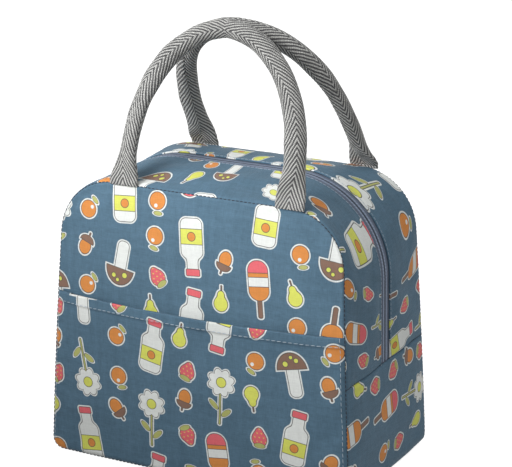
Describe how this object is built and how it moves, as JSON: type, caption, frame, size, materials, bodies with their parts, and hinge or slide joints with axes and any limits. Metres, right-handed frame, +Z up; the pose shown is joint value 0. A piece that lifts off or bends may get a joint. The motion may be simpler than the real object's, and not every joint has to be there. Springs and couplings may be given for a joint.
{
  "type": "lunch box",
  "caption": "Soft insulated lunch bag with padded walls, a zipped arched top, a front slip pocket and two round webbing handles.",
  "frame": {"origin": "on the ground, at the middle of the base between the two side gussets and the two panel seams", "axes": "+Z up; +X to the bag's right as seen from the pocket side; +Y from the pocket side to the back"},
  "size_m": [0.2292, 0.1388, 0.3101],
  "materials": {
    "printed_cloth": "slate blue oxford cloth with a small repeating print",
    "foam": "white closed-cell foam sheet",
    "foil_lining": "silver foil-faced film",
    "binding": "dark woven tape",
    "zip_tape": "woven polyester tape",
    "zip_coil": "dark nylon coil",
    "zip_metal": "grey plated zinc",
    "webbing": "grey herringbone webbing",
    "filler_cord": "white filler cord"
  },
  "bodies": {
    "base": {"lower_gusset": "printed_cloth", "lower_gusset_foam": "foam", "lower_gusset_lining": "foil_lining", "front_panel_lower": "printed_cloth", "front_foam_lower": "foam", "front_lining_lower": "foil_lining", "back_panel_lower": "printed_cloth", "back_foam_lower": "foam", "back_lining_lower": "foil_lining", "pocket_lower": "printed_cloth", "base_bindings": "binding", "side_seam_bindings": "binding"},
    "front_half": {"front_panel_upper": "printed_cloth", "front_foam_upper": "foam", "front_lining_upper": "foil_lining", "front_zip_gusset": "printed_cloth", "front_zip_gusset_foam": "foam", "front_zip_gusset_lining": "foil_lining", "front_zip_tape": "zip_tape", "front_zip_coil": "zip_coil", "front_zip_stop": "zip_metal", "front_binding": "binding", "front_handle_ends": "webbing", "pocket_upper": "printed_cloth", "pocket_hem": "printed_cloth"},
    "back_half": {"back_panel_upper": "printed_cloth", "back_foam_upper": "foam", "back_lining_upper": "foil_lining", "back_zip_gusset": "printed_cloth", "back_zip_gusset_foam": "foam", "back_zip_gusset_lining": "foil_lining", "back_zip_tape": "zip_tape", "back_zip_coil": "zip_coil", "back_zip_stop": "zip_metal", "back_binding": "binding", "back_handle_ends": "webbing"},
    "front_handle": {"front_handle": "webbing", "front_handle_cord": "filler_cord"},
    "back_handle": {"back_handle": "webbing", "back_handle_cord": "filler_cord"},
    "zip_slider": {"zip_slider": "zip_metal"},
    "zip_pull": {"zip_pull": "zip_metal"}
  },
  "joints": [
    {"name": "front_mouth", "type": "hinge", "parent": "base", "child": "front_half", "pos_m": [0, -0.0715, 0.081], "axis": [1, 0, 0], "range_deg": [0, 18]},
    {"name": "back_mouth", "type": "hinge", "parent": "base", "child": "back_half", "pos_m": [0, 0.0675, 0.081], "axis": [-1, 0, 0], "range_deg": [0, 18]},
    {"name": "front_handle_swing", "type": "hinge", "parent": "front_half", "child": "front_handle", "pos_m": [0, -0.05734, 0.1999], "axis": [1, 0, 0], "range_deg": [0, 130]},
    {"name": "back_handle_swing", "type": "hinge", "parent": "back_half", "child": "back_handle", "pos_m": [0, 0.05734, 0.1999], "axis": [-1, 0, 0], "range_deg": [0, 140]},
    {"name": "zip_travel", "type": "slide", "parent": "base", "child": "zip_slider", "axis": [0.0163, 0, 0.9999], "range_m": [0, 0.04]},
    {"name": "pull_swing", "type": "hinge", "parent": "zip_slider", "child": "zip_pull", "pos_m": [-0.1131, 0, 0.09054], "axis": [0, 1, 0], "range_deg": [0, 160]}
  ]
}
